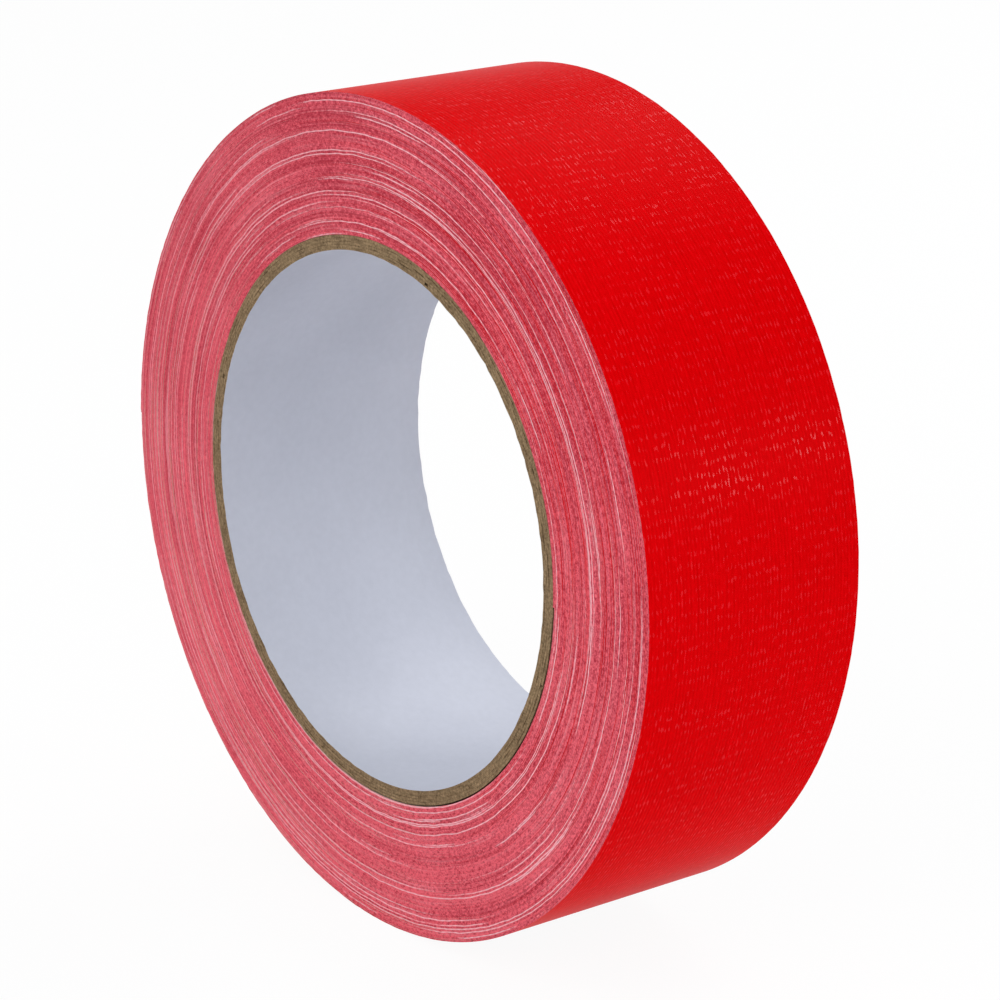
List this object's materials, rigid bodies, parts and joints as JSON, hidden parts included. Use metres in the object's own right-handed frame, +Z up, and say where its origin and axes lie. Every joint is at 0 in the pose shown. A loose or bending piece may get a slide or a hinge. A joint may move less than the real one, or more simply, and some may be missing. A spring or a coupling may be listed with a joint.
{
  "type": "cloth tape roll",
  "caption": "Roll of red cloth tape wound on a board core, standing on its edge, with a free end that peels.",
  "frame": {"origin": "centre of the core's bore at half the roll's width", "axes": "+Y along the roll's axis from its front face to its back face, +Z up with the roll standing on its edge, +X to the right seen from the front"},
  "size_m": [0.1194, 0.036, 0.1193],
  "materials": {
    "liner_paper": "matte",
    "kraft_board": "matte",
    "wound_tape": "matte",
    "adhesive": "satin",
    "scrim_cloth": "matte",
    "red_film": "satin"
  },
  "bodies": {
    "roll": {"core_liner": "liner_paper", "core_ply_1": "kraft_board", "core_ply_2": "kraft_board", "core_ply_3": "kraft_board", "core_ply_4": "kraft_board", "tape_winding": "wound_tape", "outer_turn_adhesive": "adhesive", "outer_turn_cloth": "scrim_cloth", "outer_turn_film": "red_film"},
    "tape_end": {"tape_end_adhesive": "adhesive", "tape_end_cloth": "scrim_cloth", "tape_end_film": "red_film"}
  },
  "joints": [
    {"name": "tape_end_peel", "type": "hinge", "parent": "roll", "child": "tape_end", "pos_m": [-0.05132, 0, 0.03056], "axis": [0, 1, 0], "range_deg": [0, 150]}
  ]
}
